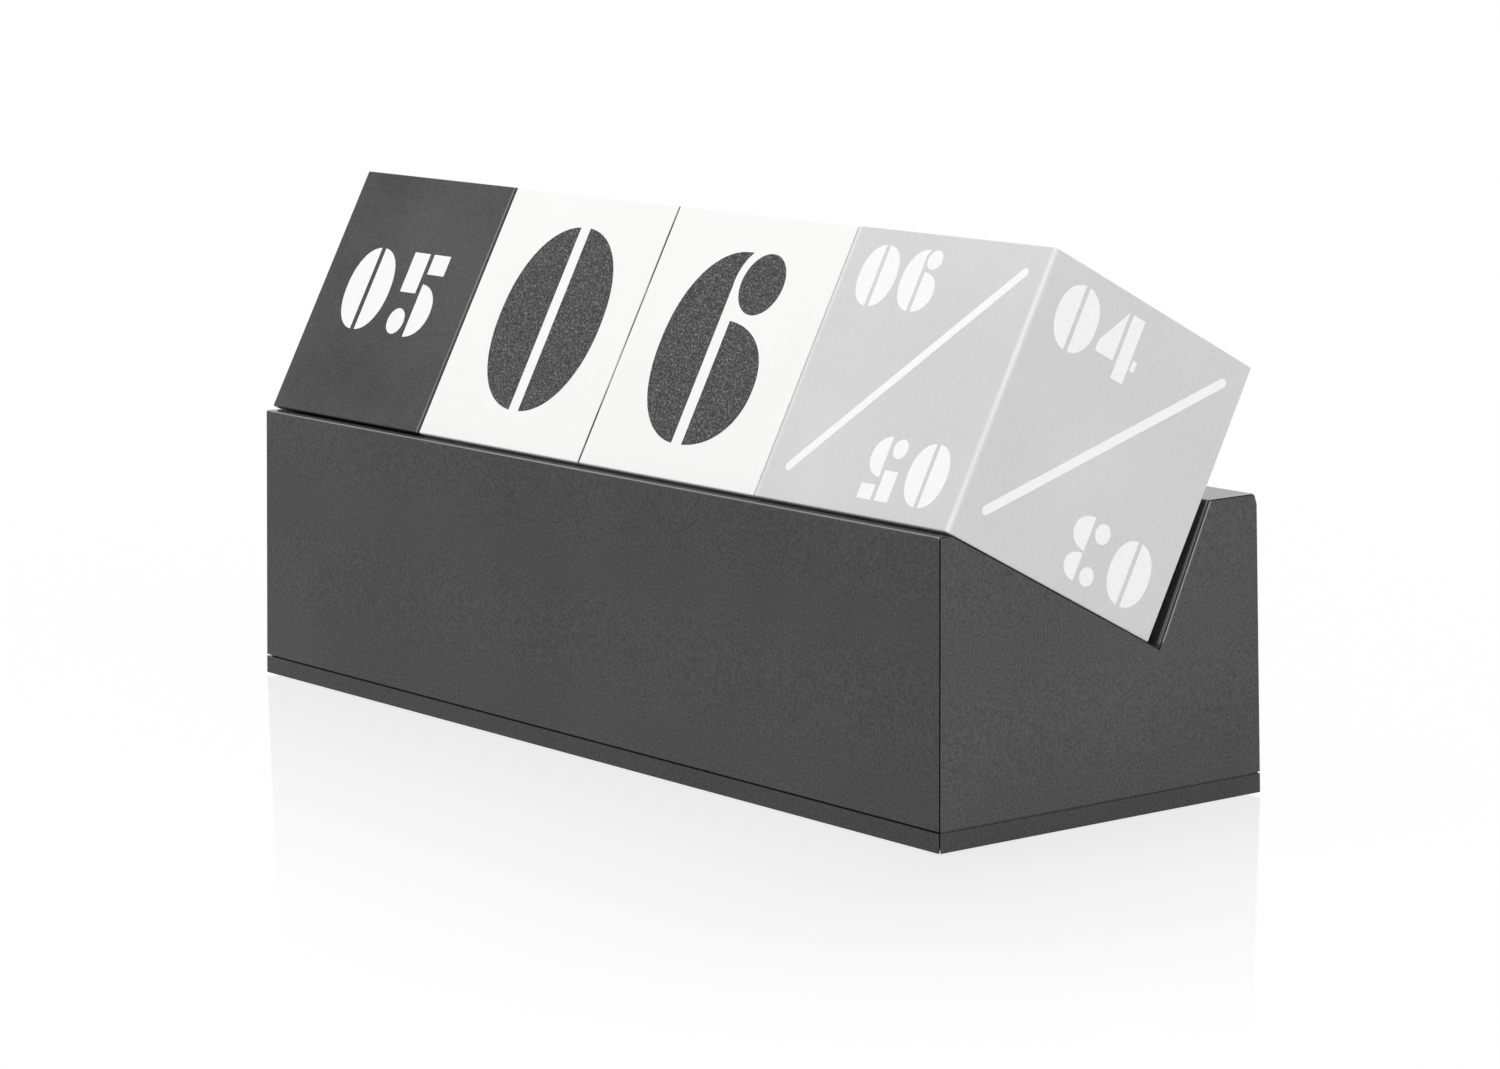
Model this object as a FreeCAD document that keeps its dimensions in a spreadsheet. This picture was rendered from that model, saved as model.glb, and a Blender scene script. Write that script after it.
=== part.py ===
import FreeCAD, Part
import os
import Sketcher
from FreeCAD import Placement, Rotation, Vector

# Perpetual desk calendar: four hollow cubes lie in a V trough, and a drawer slides out of the holder's
# right end. X runs along the holder to the drawer's end, Y to the back, Z up from the table.
# The origin is on the table under the middle of the holder. Millimetres and degrees.
SIZES = {
    # Cubes
    "cube_edge": 48,
    "cube_wall": 2,
    "cube_gap": 0.2,
    "cube_rounding": 0.25,
    "lid_clearance": 0.15,
    "lid_post": 4,
    # Outer form of the holder
    "holder_length": 194.3,
    "holder_depth": 69.4,
    "rim_height": 49.6,
    "draft_angle": 0.9,
    "front_rounding": 0.4,
    "rear_bevel_height": 2.3,
    "rear_bevel_depth": 0.7,
    "lip_rounding": 0.4,
    "toe_rounding": 1,
    "corner_rounding": 0.25,
    "shell_wall": 2.4,
    # Seat of the cubes in the trough
    "seat_tilt": 27.9,
    "back_lean": 25.8,
    "seat_clearance": 0.15,
    "toe_room": 2.4,
    "cube_setback": 2.24,
    "cube_lift": 0.73,
    # Base plate
    "base_strip": 3.3,
    "base_floor": 2,
    "groove_width": 0.35,
    "groove_depth": 0.8,
    "lip_length": 60,
    "lip_height": 3,
    "lip_thickness": 1.2,
    "lip_gap": 0.2,
    "foot_radius": 5,
    "foot_stand": 0.5,
    "foot_recess": 1,
    "foot_clearance": 0.2,
    "foot_bevel": 0.3,
    "foot_inset_x": 22,
    "foot_inset_y": 13,
    # Screws and their bosses
    "boss_radius": 2.8,
    "boss_height": 11,
    "boss_sink": 0.4,
    "screw_radius": 1.2,
    "screw_clearance": 0.05,
    "screw_length": 9,
    "screw_hole_clearance": 0.15,
    "pilot_spare": 1,
    "head_radius": 2.3,
    "head_height": 1.5,
    "head_clearance": 0.3,
    "cross_width": 0.7,
    "cross_length": 2.8,
    "cross_depth": 0.8,
    "screw_pad_wall": 1,
    "screw_pad_skin": 1.5,
    # Drawer
    "panel_thickness": 2.6,
    "panel_seam": 0.2,
    "panel_groove_depth": 0.25,
    "tray_wall": 1.6,
    "tray_floor": 1.6,
    "tray_rounding": 2.5,
    "tray_inner_rounding": 1,
    "tray_side_gap": 0.3,
    "tray_headroom": 1,
    "tray_end_gap": 1,
    "rail_thickness": 1.2,
    "rail_height": 6.5,
    "rail_gap": 0.3,
    "runner_height": 0.8,
    "runner_width": 2,
    "runner_gap": 0.2,
    "drawer_travel": 120,
    "ear_length": 3,
    "ear_height": 4,
    "ear_gap": 0.5,
    "front_boss_radius": 3.2,
    "front_boss_length": 2,
    "front_screw_spread": 30,
    "front_screw_length": 4.8,
}

document = FreeCAD.newDocument("desk_calendar")
sheet = document.addObject("Spreadsheet::Sheet", "Sizes")
for line, (alias, number) in enumerate(SIZES.items(), start=1):
    sheet.set(f"A{line}", str(number))
    sheet.setAlias(f"A{line}", alias)
document.recompute()


def size(alias):
    """The expression that names one cell of the sheet."""
    return f"Sizes.{alias}"


def value(expression):
    """What an expression on the sheet comes to, in millimetres or degrees."""
    return float(sheet.evalExpression(expression))


def bind(thing, sizes):
    """Bind properties of a document object to expressions on the sheet."""
    for name, expression in sizes.items():
        thing.setExpression(name, expression)


# ------------------------------------------------------------------ levels and lines that pieces share
underside = size("foot_stand")
rim_top = f"({underside} + {size('rim_height')})"
base_top = f"({underside} + {size('base_strip')} + {size('groove_width')} / 2)"
groove_bottom = f"({base_top} - {size('groove_width')})"
floor_top = f"({underside} + {size('base_floor')})"
half_length = f"({size('holder_length')} / 2)"
half_depth = f"({size('holder_depth')} / 2)"
draft = f"tan({size('draft_angle')})"


def inset_at(level):
    """How far a drafted outer wall has come in at a level above the underside."""
    return f"(({level} - {underside}) * {draft})"


# The cube's front bottom edge, and the trough's two slopes below and behind the row of cubes.
seat_y = f"(-{half_depth} + {size('cube_setback')})"
seat_z = f"({rim_top} + {size('cube_lift')})"
along_y = f"cos({size('seat_tilt')})"
along_z = f"-sin({size('seat_tilt')})"
slope_run = f"({size('cube_edge')} + {size('toe_room')})"
apex_y = f"({seat_y} + {slope_run} * {along_y} + {size('seat_clearance')} * {along_z})"
apex_z = f"({seat_z} + {slope_run} * {along_z} - {size('seat_clearance')} * {along_y})"


def front_slope_y(level, depth="0"):
    """Where a line at a depth below the trough's front slope crosses a level."""
    return f"({apex_y} - ({level} - {apex_z} + {depth} / {along_y}) / tan({size('seat_tilt')}))"


def rear_slope_y(level, depth="0"):
    """Where a line at a depth behind the trough's rear slope crosses a level."""
    return f"({apex_y} + ({level} - {apex_z}) * tan({size('back_lean')}) + {depth} / cos({size('back_lean')}))"


# The trough's underside, one wall below its two slopes: both lines meet at this level.
wall = size("shell_wall")
belly_z = (
    f"({apex_z} - {wall} * (1 / cos({size('back_lean')}) + 1 / sin({size('seat_tilt')}))"
    f" / (tan({size('back_lean')}) + 1 / tan({size('seat_tilt')})))"
)
belly_y = rear_slope_y(belly_z, wall)

# The underside of the trough's front slope meets the inside of the front wall at this level.
shoulder_z = (
    f"(({apex_y} + {half_depth} - {wall} + {underside} * {draft}"
    f" + ({apex_z} - {wall} / {along_y}) / tan({size('seat_tilt')}))"
    f" / ({draft} + 1 / tan({size('seat_tilt')})))"
)

# The drawer's end: how far the mitre's two sides keep from each other, along X.
mitre_shift = f"({size('panel_seam')} * sqrt(2))"

# Bosses, rails and tray, from the walls inwards.
boss_y = f"({half_depth} - {wall} + {size('boss_sink')} - {size('boss_radius')})"
boss_x = f"({half_length} - {wall} + {size('boss_sink')} - {size('boss_radius')})"
right_boss_x = f"({boss_x} - {size('panel_thickness')} - {size('boss_radius')})"
rail_outer = f"({boss_y} - {size('boss_radius')} - {size('rail_gap')})"
rail_inner = f"({rail_outer} - {size('rail_thickness')})"
rail_top = f"({floor_top} + {size('rail_height')})"
tray_half = f"({rail_inner} - {size('tray_side_gap')})"
tray_bottom = f"({floor_top} + {size('runner_height')} + {size('runner_gap')})"
tray_top = f"({belly_z} - {size('tray_headroom')})"
tray_left = f"(-{boss_x} + {size('boss_radius')} + {size('tray_end_gap')})"
tray_right = f"({half_length} - {size('panel_thickness')} - {size('front_boss_length')})"
ear_bottom = f"({rail_top} + {size('ear_gap')})"
ear_top = f"({ear_bottom} + {size('ear_height')})"
ear_left = f"({tray_left} + {size('tray_rounding')})"
stop_x = f"({ear_left} + {size('ear_length')} + {size('drawer_travel')} + {size('ear_gap')})"


# ------------------------------------------------------------------ ways of making shapes
def box(name, low, high):
    """A block between two corners, each three expressions."""
    block = document.addObject("Part::Box", name)
    sides = {"Length": 0, "Width": 1, "Height": 2}
    bind(block, {side: f"({high[axis]}) - ({low[axis]})" for side, axis in sides.items()})
    bind(block, {f"Placement.Base.{'xyz'[axis]}": low[axis] for axis in range(3)})
    return block


def rod(name, radius, length, foot, lying=False):
    """A cylinder from its foot, up or, if it lies, along X."""
    cylinder = document.addObject("Part::Cylinder", name)
    if lying:
        cylinder.Placement = Placement(Vector(), Rotation(Vector(0, 1, 0), 90))
    bind(cylinder, {"Radius": radius, "Height": length})
    bind(cylinder, {f"Placement.Base.{'xyz'[axis]}": foot[axis] for axis in range(3)})
    return cylinder


def fuse(name, *shapes):
    joined = document.addObject("Part::MultiFuse", name)
    joined.Shapes = list(shapes)
    return joined


def cut(name, base, tool):
    rest = document.addObject("Part::Cut", name)
    rest.Base = base
    rest.Tool = tool
    return rest


def common(name, *shapes):
    shared = document.addObject("Part::MultiCommon", name)
    shared.Shapes = list(shapes)
    return shared


def origin_plane(body, role):
    """One of a body's own origin planes, such as YZ_Plane."""
    return next(feature for feature in body.Origin.OriginFeatures if feature.Role == role)


def polygon(body, name, role, corners):
    """A closed sketch with straight sides, whose corners are pairs of expressions."""
    sketch = body.newObject("Sketcher::SketchObject", name)
    sketch.AttachmentSupport = (origin_plane(body, role), [""])
    sketch.MapMode = "FlatFace"
    places = [Vector(value(across), value(up), 0) for across, up in corners]
    count = len(corners)
    for side in range(count):
        sketch.addGeometry(Part.LineSegment(places[side], places[(side + 1) % count]))
    for side, (across, up) in enumerate(corners):
        sketch.addConstraint(Sketcher.Constraint("Coincident", side, 2, (side + 1) % count, 1))
        for kind, expression in (("DistanceX", across), ("DistanceY", up)):
            held = sketch.addConstraint(
                Sketcher.Constraint(kind, -1, 1, side, 1, value(expression))
            )
            sketch.setExpression(f"Constraints[{held}]", expression)
    return sketch


def rectangle(body, name, role, low, high):
    """A sketched rectangle between two corners, each a pair of expressions."""
    corners = [low, (high[0], low[1]), high, (low[0], high[1])]
    return polygon(body, name, role, corners)


def edges(feature, wanted):
    """Names of a feature's edges whose middle passes a test."""
    shape = feature.Shape
    return [f"Edge{number}" for number, edge in enumerate(shape.Edges, start=1) if wanted(edge)]


def between(expression, number, slack=0.05):
    """Whether a number is what an expression comes to, within a little slack."""
    return abs(value(expression) - number) < slack


# ------------------------------------------------------------------ outer form of the whole holder
def make_holder_form():
    """The drafted block with its V trough, as if shell, base and drawer front were one."""
    body = document.addObject("PartDesign::Body", "HolderForm")
    foot = rectangle(body, "Footprint", "XY_Plane", (f"-{half_length}", f"-{half_depth}"),
                     (half_length, half_depth))
    bind(foot, {"AttachmentOffset.Base.z": underside})
    block = body.newObject("PartDesign::Pad", "Block")
    block.Profile = foot
    bind(block, {"Length": size("rim_height"), "TaperAngle": f"-{size('draft_angle')}"})

    above = f"({rim_top} + {size('rear_bevel_height')})"
    trough = polygon(body, "TroughSection", "YZ_Plane", [
        (front_slope_y(above), above),
        (apex_y, apex_z),
        (rear_slope_y(above), above),
    ])
    channel = body.newObject("PartDesign::Pocket", "Trough")
    channel.Profile = trough
    channel.Type = "ThroughAll"
    channel.Midplane = True
    document.recompute()

    tip = channel
    along = [
        ("FrontEdge", "front_rounding", f"-{half_depth} + {inset_at(rim_top)}", rim_top),
        ("FrontLip", "lip_rounding", front_slope_y(rim_top), rim_top),
        ("RearLip", "lip_rounding", rear_slope_y(rim_top), rim_top),
        ("TroughToe", "toe_rounding", apex_y, apex_z),
    ]
    for name, radius, across, level in along:
        tip = fillet(body, name, tip, radius, lambda edge: (
            between(across, edge.CenterOfMass.y) and between(level, edge.CenterOfMass.z)
            and abs(edge.CenterOfMass.x) < 1
        ))
    tip = fillet(body, "EndCorners", tip, "corner_rounding", lambda edge: (
        abs(abs(edge.CenterOfMass.x) - value(half_length)) < value(inset_at(rim_top)) + 0.05
        and edge.CenterOfMass.z > value(underside) + 0.1
    ))
    bevel_foot = f"({rim_top} - {size('rear_bevel_height')})"
    bevel_start = f"({half_depth} - {inset_at(rim_top)} - {size('rear_bevel_depth')})"
    waste = polygon(body, "BevelSection", "YZ_Plane", [
        (bevel_start, rim_top),
        (bevel_start, above),
        (half_depth, above),
        (half_depth, bevel_foot),
        (f"{half_depth} - {inset_at(bevel_foot)}", bevel_foot),
    ])
    bevel = body.newObject("PartDesign::Pocket", "RearBevel")
    bevel.Profile = waste
    bevel.Type = "ThroughAll"
    bevel.Midplane = True
    document.recompute()
    return body


def fillet(body, name, base, radius, wanted):
    """Round the edges of a feature that pass a test."""
    rounding = body.newObject("PartDesign::Fillet", name)
    rounding.Base = (base, edges(base, wanted))
    rounding.setExpression("Radius", size(radius))
    document.recompute()
    return rounding


def make_end_form(name, shift):
    """The space of the drawer front: the end's outline, narrowing at 45 degrees as it goes inwards.

    It reaches far enough below the underside for the panel to keep its full thickness there.
    """
    body = document.addObject("PartDesign::Body", name)
    below = f"({underside} - 2 * {size('panel_thickness')})"
    outline = polygon(body, name + "Outline", "YZ_Plane", [
        (f"-{half_depth} + {inset_at(below)}", below),
        (f"{half_depth} - {inset_at(below)}", below),
        (f"{half_depth} - {inset_at(rim_top)}", rim_top),
        (f"-{half_depth} + {inset_at(rim_top)}", rim_top),
    ])
    block = body.newObject("PartDesign::Pad", name + "Block")
    block.Profile = outline
    bind(block, {"TaperAngle": "-45", "TaperAngle2": "45"})
    above = f"({rim_top} + {size('rear_bevel_height')})"
    notch = polygon(body, name + "Notch", "YZ_Plane", [
        (front_slope_y(above), above),
        (apex_y, apex_z),
        (rear_slope_y(above), above),
    ])
    channel = body.newObject("PartDesign::Pocket", name + "Channel")
    channel.Profile = notch
    bind(channel, {"TaperAngle": "45", "TaperAngle2": "-45"})
    for section in (outline, notch):
        section.AttachmentOffset = Placement(Vector(), Rotation(Vector(1, 0, 0), -1))
        bind(section, {
            "AttachmentOffset.Rotation.Angle": f"-{size('draft_angle')}",
            "AttachmentOffset.Base.z": f"{half_length} + {underside} * {draft} + {shift}",
        })
    block.Reversed = True
    for feature in (block, channel):
        feature.SideType = "Two sides"
        bind(feature, {"Length": size("panel_thickness"), "Length2": size("corner_rounding")})
    return body


def make_hollow():
    """The space inside the shell, open to the right and below, one wall inside the outer form."""
    body = document.addObject("PartDesign::Body", "Hollow")
    ceiling = f"({rim_top} - {wall})"
    section = polygon(body, "HollowSection", "YZ_Plane", [
        (f"-{half_depth} + {wall} + {inset_at('0')}", "0"),
        (f"-{half_depth} + {wall} + {inset_at(shoulder_z)}", shoulder_z),
        (belly_y, belly_z),
        (rear_slope_y(ceiling, wall), ceiling),
        (f"{half_depth} - {wall} - {inset_at(ceiling)}", ceiling),
        (f"{half_depth} - {wall} - {inset_at('0')}", "0"),
    ])
    bind(section, {"AttachmentOffset.Base.z": f"-{half_length} + {wall} + {inset_at(rim_top)}"})
    pad = body.newObject("PartDesign::Pad", "HollowPad")
    pad.Profile = section
    bind(pad, {"Length": size("holder_length")})
    return body


def four_places(across, along_left, along_right):
    """Two places left and two right, as (side name, x, y) with y on both sides."""
    return [
        (f"{depth}{side}", along, sign + across)
        for side, along in (("Left", along_left), ("Right", along_right))
        for depth, sign in (("Front", "-"), ("Rear", ""))
    ]


boss_places = four_places(boss_y, f"-{boss_x}", right_boss_x)
foot_places = four_places(
    f"({half_depth} - {size('foot_inset_y')})",
    f"-({half_length} - {size('foot_inset_x')})",
    f"({half_length} - {size('foot_inset_x')})",
)


# ------------------------------------------------------------------ shell
def make_shell(form, hollow, end_space):
    """Moulded in one with its left end, its trough and four screw bosses under the side walls."""
    far = f"({half_length} + {size('corner_rounding')})"
    below = box("BelowShell", (f"-{far}", f"-{half_depth} - 1", "0"), (far, f"{half_depth} + 1", base_top))
    skin = cut("ShellSkin", form, fuse("ShellWaste", hollow, end_space, below))
    bosses = []
    pilots = []
    for place, across, back in boss_places:
        bosses.append(rod("Boss" + place, size("boss_radius"), size("boss_height"), (across, back, base_top)))
        pilots.append(rod(
            "Pilot" + place,
            f"{size('screw_radius')} + {size('screw_clearance')}",
            f"{size('screw_length')} - {size('screw_pad_skin')} + {size('pilot_spare')}",
            (across, back, base_top),
        ))
    return cut("HolderShell", fuse("ShellWithBosses", skin, *bosses), fuse("Pilots", *pilots))


# ------------------------------------------------------------------ base plate
def make_base_plate(form, end_space):
    """Flush cover under the shell: rim, rails and runners for the drawer, seats for screws and feet."""
    edge_x = f"({half_length} + 1)"
    edge_y = f"({half_depth} + 1)"
    slab = box("BaseSlab", (f"-{edge_x}", f"-{edge_y}", "0"), (edge_x, edge_y, base_top))
    inner_y = f"({half_depth} - {wall})"
    well = box("BaseWell", (f"-{half_length} + {wall}", f"-{inner_y}", floor_top), (edge_x, inner_y, rim_top))
    band = box("GrooveBand", (f"-{edge_x}", f"-{edge_y}", groove_bottom), (edge_x, edge_y, rim_top))
    core_y = f"({half_depth} - {size('groove_depth')})"
    core = box("GrooveCore", (f"-{half_length} + {size('groove_depth')}", f"-{core_y}", underside),
               (edge_x, core_y, rim_top))
    plate = cut("Plate", common("BaseSlice", form, slab),
                fuse("BaseWaste", well, end_space, cut("Groove", band, core)))

    added = [plate]
    lip_top = f"({base_top} + {size('lip_height')})"
    lip_outer = f"({half_depth} - {wall} - {inset_at(lip_top)} - {size('lip_gap')})"
    lip_inner = f"({lip_outer} - {size('lip_thickness')})"
    half_lip = f"({size('lip_length')} / 2)"
    for side, low, high in (("Front", f"-{lip_outer}", f"-{lip_inner}"), ("Rear", lip_inner, lip_outer)):
        added.append(box("Lip" + side, (f"-{half_lip}", low, underside), (half_lip, high, lip_top)))
    for side, low, high in (("Front", f"-{rail_outer}", f"-{rail_inner}"), ("Rear", rail_inner, rail_outer)):
        added.append(box("Rail" + side, (tray_left, low, underside), (tray_right, high, rail_top)))
        added.append(box("Stop" + side, (stop_x, low, underside),
                         (f"{stop_x} + {size('ear_length')}", high, ear_top)))
    runner_top = f"({floor_top} + {size('runner_height')})"
    for side, middle in (("Front", f"-{tray_half} / 2"), ("Rear", f"{tray_half} / 2")):
        added.append(box(
            "Runner" + side,
            (tray_left, f"{middle} - {size('runner_width')} / 2", underside),
            (tray_right, f"{middle} + {size('runner_width')} / 2", runner_top),
        ))

    taken = []
    for place, across, back in boss_places:
        added.append(rod("ScrewPad" + place,
                         f"{size('head_radius')} + {size('head_clearance')} + {size('screw_pad_wall')}",
                         f"{base_top} - {underside}", (across, back, underside)))
        taken.append(rod("ScrewHole" + place, f"{size('screw_radius')} + {size('screw_hole_clearance')}",
                         base_top, (across, back, "0")))
        taken.append(rod("HeadSeat" + place, f"{size('head_radius')} + {size('head_clearance')}",
                         f"{base_top} - {size('screw_pad_skin')}", (across, back, "0")))
    for place, across, back in foot_places:
        taken.append(rod("FootSeat" + place, f"{size('foot_radius')} + {size('foot_clearance')}",
                         f"{underside} + {size('foot_recess')}", (across, back, "0")))
    return cut("BasePlate", fuse("BaseAdded", *added), fuse("BaseTaken", *taken))


# ------------------------------------------------------------------ drawer
front_boss_z = f"(({tray_bottom} + {tray_top}) / 2)"
front_boss_places = [
    ("Front", f"-{size('front_screw_spread')} / 2"),
    ("Rear", f"{size('front_screw_spread')} / 2"),
]


def make_drawer_front(form, end_space):
    """End panel, mitred all round, with the base's shadow line carried across it and two screw bosses."""
    skin = common("PanelSkin", form, end_space)
    face_x = f"({half_length} - {inset_at(base_top)} - {size('panel_groove_depth')})"
    line = box("PanelGroove", (face_x, f"-{half_depth} - 1", groove_bottom),
               (f"{half_length} + 1", f"{half_depth} + 1", base_top))
    bosses = []
    pilots = []
    for place, back in front_boss_places:
        start = (tray_right, back, front_boss_z)
        bosses.append(rod("PanelBoss" + place, size("front_boss_radius"),
                          f"{size('front_boss_length')} + {size('panel_thickness')} / 2", start, lying=True))
        pilots.append(rod("PanelPilot" + place, f"{size('screw_radius')} + {size('screw_clearance')}",
                          f"{size('front_screw_length')} - {size('tray_wall')} + {size('screw_clearance')}",
                          start, lying=True))
    return cut("DrawerFront", fuse("PanelWithBosses", skin, *bosses), fuse("PanelWaste", line, *pilots))


def make_tray():
    """Open moulded box, with two ears at its far end that meet the stops on the rails."""
    body = document.addObject("PartDesign::Body", "TrayBox")
    outline = rectangle(body, "TrayOutline", "XY_Plane", (tray_left, f"-{tray_half}"), (tray_right, tray_half))
    bind(outline, {"AttachmentOffset.Base.z": tray_bottom})
    block = body.newObject("PartDesign::Pad", "TrayBlock")
    block.Profile = outline
    bind(block, {"Length": f"{tray_top} - {tray_bottom}"})
    document.recompute()
    rounded = fillet(body, "TrayCorners", block, "tray_rounding", upright)
    opening = rectangle(
        body, "TrayOpening", "XY_Plane",
        (f"{tray_left} + {size('tray_wall')}", f"-{tray_half} + {size('tray_wall')}"),
        (f"{tray_right} - {size('tray_wall')}", f"{tray_half} - {size('tray_wall')}"),
    )
    bind(opening, {"AttachmentOffset.Base.z": tray_top})
    inside = body.newObject("PartDesign::Pocket", "TrayInside")
    inside.Profile = opening
    bind(inside, {"Length": f"{tray_top} - {tray_bottom} - {size('tray_floor')}"})
    document.recompute()
    inner = fillet(body, "InnerCorners", inside, "tray_inner_rounding", lambda edge: (
        upright(edge) and inner_corner(edge)
    ))
    fillet(body, "FloorCorners", inner, "tray_inner_rounding", lambda edge: (
        between(f"{tray_bottom} + {size('tray_floor')}", edge.CenterOfMass.z)
    ))

    added = [body]
    for side, low, high in (
        ("Front", f"-{rail_outer}", f"-{tray_half} + {size('tray_wall')} / 2"),
        ("Rear", f"{tray_half} - {size('tray_wall')} / 2", rail_outer),
    ):
        added.append(box("Ear" + side, (ear_left, low, ear_bottom),
                         (f"{ear_left} + {size('ear_length')}", high, ear_top)))
    holes = [
        rod("TrayHole" + place, f"{size('screw_radius')} + {size('screw_hole_clearance')}",
            f"2 * {size('tray_wall')}", (f"{tray_right} - 1.5 * {size('tray_wall')}", back, front_boss_z),
            lying=True)
        for place, back in front_boss_places
    ]
    return cut("DrawerTray", fuse("TrayWithEars", *added), fuse("TrayHoles", *holes))


def upright(edge):
    """Whether an edge is straight and runs up."""
    box_of_edge = edge.BoundBox
    return box_of_edge.ZLength > 1 and box_of_edge.XLength < 0.01 and box_of_edge.YLength < 0.01


def inner_corner(edge):
    """Whether an upright edge stands at a corner of the tray's inside."""
    middle = edge.CenterOfMass
    corner_y = value(f"{tray_half} - {size('tray_wall')}")
    ends = (value(f"{tray_left} + {size('tray_wall')}"), value(f"{tray_right} - {size('tray_wall')}"))
    return abs(abs(middle.y) - corner_y) < 0.01 and min(abs(middle.x - end) for end in ends) < 0.01


# ------------------------------------------------------------------ screws and feet
def make_screw(name, length, place, lying=False):
    """Pan head screw with a cross recess: its head's outer face stands on the place."""
    body = document.addObject("PartDesign::Body", name)
    top = size("head_height")
    tip = f"({top} + {length})"
    profile = polygon(body, name + "Profile", "XZ_Plane", [
        ("0", "0"),
        (f"{size('head_radius')} * 0.7", "0"),
        (size("head_radius"), f"{top} / 2"),
        (size("head_radius"), top),
        (size("screw_radius"), top),
        (size("screw_radius"), f"{tip} - {size('screw_radius')}"),
        (f"{size('screw_radius')} / 2", tip),
        ("0", tip),
    ])
    turned = body.newObject("PartDesign::Revolution", name + "Turned")
    turned.Profile = profile
    turned.ReferenceAxis = (profile, ["V_Axis"])
    turned.Angle = 360
    for arm, (half_x, half_y) in {
        "A": ("cross_length", "cross_width"),
        "B": ("cross_width", "cross_length"),
    }.items():
        slot = rectangle(body, name + "Slot" + arm, "XY_Plane",
                         (f"-{size(half_x)} / 2", f"-{size(half_y)} / 2"),
                         (f"{size(half_x)} / 2", f"{size(half_y)} / 2"))
        pocket = body.newObject("PartDesign::Pocket", name + "Cross" + arm)
        pocket.Profile = slot
        pocket.Reversed = True
        bind(pocket, {"Length": size("cross_depth")})
    if lying:
        body.Placement = Placement(Vector(), Rotation(Vector(0, 1, 0), 90))
    bind(body, {f"Placement.Base.{'xyz'[axis]}": place[axis] for axis in range(3)})
    return body


def group(name, members):
    together = document.addObject("Part::Compound", name)
    together.Links = members
    return together


def make_foot(place, across, back):
    """Round stick-on rubber pad in its seat, with a bevelled lower edge."""
    body = document.addObject("PartDesign::Body", "Foot" + place)
    sketch = body.newObject("Sketcher::SketchObject", "FootCircle" + place)
    sketch.AttachmentSupport = (origin_plane(body, "XY_Plane"), [""])
    sketch.MapMode = "FlatFace"
    sketch.addGeometry(Part.Circle(Vector(), Vector(0, 0, 1), SIZES["foot_radius"]))
    sketch.addConstraint(Sketcher.Constraint("Coincident", 0, 3, -1, 1))
    radius = sketch.addConstraint(Sketcher.Constraint("Radius", 0, SIZES["foot_radius"]))
    sketch.setExpression(f"Constraints[{radius}]", size("foot_radius"))
    pad = body.newObject("PartDesign::Pad", "FootPad" + place)
    pad.Profile = sketch
    bind(pad, {"Length": f"{size('foot_recess')} + {size('foot_stand')}"})
    document.recompute()
    bevel = body.newObject("PartDesign::Chamfer", "FootBevel" + place)
    bevel.Base = (pad, edges(pad, lambda edge: edge.CenterOfMass.z < 0.01))
    bind(bevel, {"Size": size("foot_bevel")})
    bind(body, {"Placement.Base.x": across, "Placement.Base.y": back})
    return body


# ------------------------------------------------------------------ cubes
cube_pitch = f"({size('cube_edge')} + {size('cube_gap')})"
lid_half = f"({size('cube_edge')} / 2 - {size('cube_wall')} - {size('lid_clearance')})"
cube_names = ["weekday_cube", "tens_cube", "units_cube", "month_cube"]


def seat_on_slope(body, number):
    """Put a cube's body, whose own origin is its right front bottom corner, in its place in the row."""
    row_half = f"((4 * {cube_pitch} - {size('cube_gap')}) / 2)"
    body.Placement = Placement(Vector(), Rotation(Vector(1, 0, 0), -1))
    bind(body, {
        "Placement.Rotation.Angle": f"-{size('seat_tilt')}",
        "Placement.Base.x": f"{row_half} - {3 - number} * {cube_pitch}",
        "Placement.Base.y": seat_y,
        "Placement.Base.z": seat_z,
    })


def make_cube_body(name, number):
    """Moulded box with five faces, open to the left, with a post in each inner corner for the lid."""
    body = document.addObject("PartDesign::Body", name)
    edge = size("cube_edge")
    face = rectangle(body, name + "Face", "YZ_Plane", ("0", "0"), (edge, edge))
    block = body.newObject("PartDesign::Pad", name + "Block")
    block.Profile = face
    block.Reversed = True
    bind(block, {"Length": edge})
    document.recompute()
    fillet(body, name + "Edges", block, "cube_rounding", lambda line: True)

    low = size("cube_wall")
    high = f"({edge} - {low})"
    post = size("lid_post")
    inside = polygon(body, name + "Inside", "YZ_Plane", [
        (f"{low} + {post}", low), (f"{high} - {post}", low),
        (high, f"{low} + {post}"), (high, f"{high} - {post}"),
        (f"{high} - {post}", high), (f"{low} + {post}", high),
        (low, f"{high} - {post}"), (low, f"{low} + {post}"),
    ])
    bind(inside, {"AttachmentOffset.Base.z": f"-{edge}"})
    hollow = body.newObject("PartDesign::Pocket", name + "Hollow")
    hollow.Profile = inside
    hollow.Reversed = True
    bind(hollow, {"Length": f"{edge} - {low}"})
    mouth = rectangle(body, name + "Mouth", "YZ_Plane", (low, low), (high, high))
    bind(mouth, {"AttachmentOffset.Base.z": f"-{edge}"})
    seat = body.newObject("PartDesign::Pocket", name + "LidSeat")
    seat.Profile = mouth
    seat.Reversed = True
    bind(seat, {"Length": low})
    seat_on_slope(body, number)
    return body


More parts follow.
